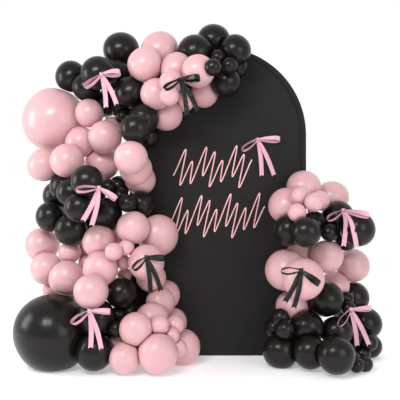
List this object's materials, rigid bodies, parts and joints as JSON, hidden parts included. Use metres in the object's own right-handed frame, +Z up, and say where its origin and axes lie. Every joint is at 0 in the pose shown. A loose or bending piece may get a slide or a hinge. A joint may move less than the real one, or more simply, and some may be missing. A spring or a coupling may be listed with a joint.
{
  "type": "balloon garland on an arched panel",
  "caption": "Tall and short garlands of pink and black balloons with ribbon bows, against an arched fabric-covered panel that stands on the floor.",
  "frame": {"origin": "on the floor at the middle of the arched panel's underside", "axes": "+X to the right of the panel seen from its front, +Y from the front to the back, +Z up"},
  "size_m": [2.449, 0.8996, 2.2451],
  "materials": {
    "fabric": "matt stretch fabric",
    "pink_latex": "satin latex",
    "black_latex": "glossy latex",
    "pink_ribbon": "satin",
    "black_ribbon": "glossy satin",
    "sign": "satin"
  },
  "bodies": {
    "root": {"black_bow_2": "black_ribbon", "black_bow_5": "black_ribbon", "black_bow_8": "black_ribbon", "black_cluster_01": "black_latex", "black_cluster_02": "black_latex", "black_cluster_03": "black_latex", "black_cluster_04": "black_latex", "black_cluster_05": "black_latex", "black_cluster_06": "black_latex", "black_cluster_07": "black_latex", "black_cluster_08": "black_latex", "black_cluster_09": "black_latex", "black_cluster_10": "black_latex", "black_cluster_11": "black_latex", "black_cluster_12": "black_latex", "black_cluster_13": "black_latex", "black_cluster_14": "black_latex", "black_cluster_15": "black_latex", "black_cluster_16": "black_latex", "black_cluster_17": "black_latex", "black_cluster_18": "black_latex", "black_cluster_19": "black_latex", "black_cluster_20": "black_latex", "black_cluster_21": "black_latex", "black_cluster_22": "black_latex", "black_cluster_23": "black_latex", "black_cluster_24": "black_latex", "black_cluster_25": "black_latex", "panel_cover": "fabric", "pink_bow_1": "pink_ribbon", "pink_bow_3": "pink_ribbon", "pink_bow_4": "pink_ribbon", "pink_bow_6": "pink_ribbon", "pink_bow_7": "pink_ribbon", "pink_bow_9": "pink_ribbon", "pink_cluster_01": "pink_latex", "pink_cluster_02": "pink_latex", "pink_cluster_03": "pink_latex", "pink_cluster_04": "pink_latex", "pink_cluster_05": "pink_latex", "pink_cluster_06": "pink_latex", "pink_cluster_07": "pink_latex", "pink_cluster_08": "pink_latex", "pink_cluster_09": "pink_latex", "pink_cluster_10": "pink_latex", "pink_cluster_11": "pink_latex", "pink_cluster_12": "pink_latex", "pink_cluster_13": "pink_latex", "pink_cluster_14": "pink_latex", "pink_cluster_15": "pink_latex", "pink_cluster_16": "pink_latex", "pink_cluster_17": "pink_latex", "pink_cluster_18": "pink_latex", "pink_cluster_19": "pink_latex", "pink_cluster_20": "pink_latex", "pink_cluster_21": "pink_latex", "sign_row_1": "sign", "sign_row_2": "sign"}
  },
  "joints": []
}
